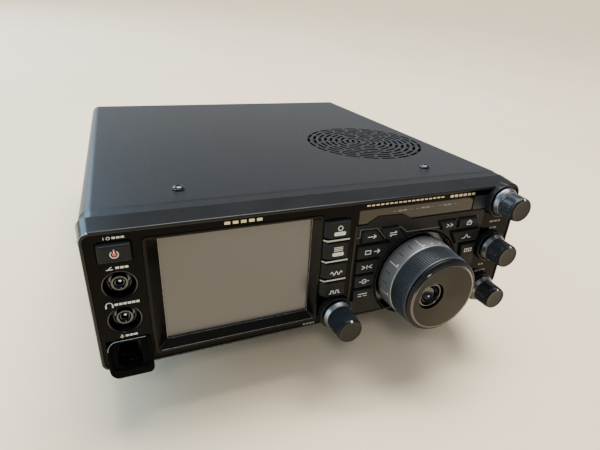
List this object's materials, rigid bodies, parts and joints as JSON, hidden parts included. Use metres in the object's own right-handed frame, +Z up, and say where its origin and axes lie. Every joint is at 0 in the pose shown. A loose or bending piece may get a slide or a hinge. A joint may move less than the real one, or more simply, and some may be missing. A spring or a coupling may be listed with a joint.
{
  "type": "mobile transceiver",
  "caption": "Box-shaped radio transceiver with colour display, large tuning dial, push keys, side knobs, rear sockets and a fold-out tilt bail.",
  "frame": {"origin": "on the desk, under the middle of the whole object's box, with the bail folded out", "axes": "+X to the radio's right as its user sees it, +Y from the face towards the rear, +Z up; the cabinet leans back 6.5 degrees on its bail"},
  "size_m": [0.229, 0.291, 0.1035],
  "materials": {
    "cover_paint": "fine-textured satin charcoal paint",
    "cast_alloy": "die-cast, bead blasted",
    "black_screw": "black oxide",
    "heatsink_black": "black anodised casting",
    "frame_satin": "satin moulded",
    "fascia_gloss": "gloss black",
    "panel_satin": "satin dark grey",
    "screen_glass": "touch panel, unlit grey",
    "module_grey": "matt",
    "smoked_window": "smoked, polished",
    "socket_black": "moulded black",
    "nickel": "nickel plated",
    "key_plastic": "fine matt",
    "knob_black": "satin black, knurled",
    "dial_metal": "turned, dark grey",
    "grip_rubber": "ribbed",
    "cup_gloss": "polished black",
    "circuit_board": "solder resist",
    "speaker_cone": "paper cone on pressed frame",
    "brass": "plated",
    "foot_rubber": "matt"
  },
  "bodies": {
    "cabinet": {"top_cover": "cover_paint", "bottom_cover": "cover_paint", "chassis": "cast_alloy", "dial_encoder": "cast_alloy", "cover_screw_left": "black_screw", "cover_screw_right": "black_screw", "rear_heatsink": "heatsink_black", "front_frame": "frame_satin", "mic_bezel": "frame_satin", "front_fascia": "fascia_gloss", "display_bezel": "fascia_gloss", "control_panel": "panel_satin", "display_window": "screen_glass", "display_module": "module_grey", "indicator_window": "smoked_window", "mic_socket": "socket_black", "power_inlet": "socket_black", "data_socket": "socket_black", "tuner_socket": "socket_black", "speaker_jack": "socket_black", "fan_housing": "socket_black", "key_jack": "nickel", "phones_jack": "nickel", "antenna_socket_hf": "nickel", "antenna_socket_vhf": "nickel", "serial_socket": "nickel", "usb_socket": "nickel", "front_board": "circuit_board", "main_board": "circuit_board", "amplifier_board": "circuit_board", "speaker": "speaker_cone", "ground_terminal": "brass", "rear_foot_left": "foot_rubber", "rear_foot_right": "foot_rubber", "front_foot_left": "foot_rubber", "front_foot_right": "foot_rubber"},
    "power_button": {"power_button": "key_plastic"},
    "function_key": {"function_key": "key_plastic"},
    "menu_key": {"menu_key": "key_plastic"},
    "band_key": {"band_key": "key_plastic"},
    "mode_key": {"mode_key": "key_plastic"},
    "copy_key": {"copy_key": "key_plastic"},
    "swap_key": {"swap_key": "key_plastic"},
    "recall_key": {"recall_key": "key_plastic"},
    "tune_key": {"tune_key": "key_plastic"},
    "spot_key": {"spot_key": "key_plastic"},
    "split_key": {"split_key": "key_plastic"},
    "fast_key": {"fast_key": "key_plastic"},
    "lock_key": {"lock_key": "key_plastic"},
    "clarifier_key": {"clarifier_key": "key_plastic"},
    "memory_key": {"memory_key": "key_plastic"},
    "tuning_dial": {"dial_hub": "dial_metal", "dial_grip": "grip_rubber", "finger_cup": "cup_gloss"},
    "multi_knob": {"multi_knob": "knob_black"},
    "volume_knob": {"volume_knob": "knob_black"},
    "squelch_knob": {"squelch_knob": "knob_black"},
    "clarifier_knob": {"clarifier_knob": "knob_black"},
    "fan_rotor": {"fan_rotor": "socket_black"},
    "bail": {"bail_stand": "nickel"}
  },
  "joints": [
    {"name": "power_press", "type": "slide", "parent": "cabinet", "child": "power_button", "axis": [0, 0.9936, -0.1132], "range_m": [0, 0.0008], "stiffness_N_per_m": 400},
    {"name": "function_press", "type": "slide", "parent": "cabinet", "child": "function_key", "axis": [0, 0.9936, -0.1132], "range_m": [0, 0.0008], "stiffness_N_per_m": 400},
    {"name": "menu_press", "type": "slide", "parent": "cabinet", "child": "menu_key", "axis": [0, 0.9936, -0.1132], "range_m": [0, 0.0008], "stiffness_N_per_m": 400},
    {"name": "band_press", "type": "slide", "parent": "cabinet", "child": "band_key", "axis": [0, 0.9936, -0.1132], "range_m": [0, 0.0008], "stiffness_N_per_m": 400},
    {"name": "mode_press", "type": "slide", "parent": "cabinet", "child": "mode_key", "axis": [0, 0.9936, -0.1132], "range_m": [0, 0.0008], "stiffness_N_per_m": 400},
    {"name": "copy_press", "type": "slide", "parent": "cabinet", "child": "copy_key", "axis": [0, 0.9936, -0.1132], "range_m": [0, 0.0008], "stiffness_N_per_m": 400},
    {"name": "swap_press", "type": "slide", "parent": "cabinet", "child": "swap_key", "axis": [0, 0.9936, -0.1132], "range_m": [0, 0.0008], "stiffness_N_per_m": 400},
    {"name": "recall_press", "type": "slide", "parent": "cabinet", "child": "recall_key", "axis": [0, 0.9936, -0.1132], "range_m": [0, 0.0008], "stiffness_N_per_m": 400},
    {"name": "tune_press", "type": "slide", "parent": "cabinet", "child": "tune_key", "axis": [0, 0.9936, -0.1132], "range_m": [0, 0.0008], "stiffness_N_per_m": 400},
    {"name": "spot_press", "type": "slide", "parent": "cabinet", "child": "spot_key", "axis": [0, 0.9936, -0.1132], "range_m": [0, 0.0008], "stiffness_N_per_m": 400},
    {"name": "split_press", "type": "slide", "parent": "cabinet", "child": "split_key", "axis": [0, 0.9936, -0.1132], "range_m": [0, 0.0008], "stiffness_N_per_m": 400},
    {"name": "fast_press", "type": "slide", "parent": "cabinet", "child": "fast_key", "axis": [0, 0.9936, -0.1132], "range_m": [0, 0.0008], "stiffness_N_per_m": 400},
    {"name": "lock_press", "type": "slide", "parent": "cabinet", "child": "lock_key", "axis": [0, 0.9936, -0.1132], "range_m": [0, 0.0008], "stiffness_N_per_m": 400},
    {"name": "clarifier_press", "type": "slide", "parent": "cabinet", "child": "clarifier_key", "axis": [0, 0.9936, -0.1132], "range_m": [0, 0.0008], "stiffness_N_per_m": 400},
    {"name": "memory_press", "type": "slide", "parent": "cabinet", "child": "memory_key", "axis": [0, 0.9936, -0.1132], "range_m": [0, 0.0008], "stiffness_N_per_m": 400},
    {"name": "dial_turn", "type": "hinge", "parent": "cabinet", "child": "tuning_dial", "pos_m": [0.05, -0.11955, 0.05528], "axis": [0, -0.9936, 0.1132], "continuous": true},
    {"name": "multi_turn", "type": "hinge", "parent": "cabinet", "child": "multi_knob", "pos_m": [0.0008, -0.12112, 0.04157], "axis": [0, -0.9936, 0.1132], "continuous": true},
    {"name": "volume_turn", "type": "hinge", "parent": "cabinet", "child": "volume_knob", "pos_m": [0.0986, -0.11509, 0.09442], "axis": [0, -0.9936, 0.1132], "range_deg": [-150, 150]},
    {"name": "squelch_turn", "type": "hinge", "parent": "cabinet", "child": "squelch_knob", "pos_m": [0.0986, -0.1183, 0.06631], "axis": [0, -0.9936, 0.1132], "range_deg": [-150, 150]},
    {"name": "clarifier_turn", "type": "hinge", "parent": "cabinet", "child": "clarifier_knob", "pos_m": [0.0986, -0.1215, 0.03819], "axis": [0, -0.9936, 0.1132], "continuous": true},
    {"name": "fan_spin", "type": "hinge", "parent": "cabinet", "child": "fan_rotor", "pos_m": [0, 0.11254, 0.04292], "axis": [0, 0.9936, -0.1132], "continuous": true},
    {"name": "bail_fold", "type": "hinge", "parent": "cabinet", "child": "bail", "pos_m": [0, -0.0748, 0.02401], "axis": [1, 0, 0], "range_deg": [0, 114]}
  ]
}
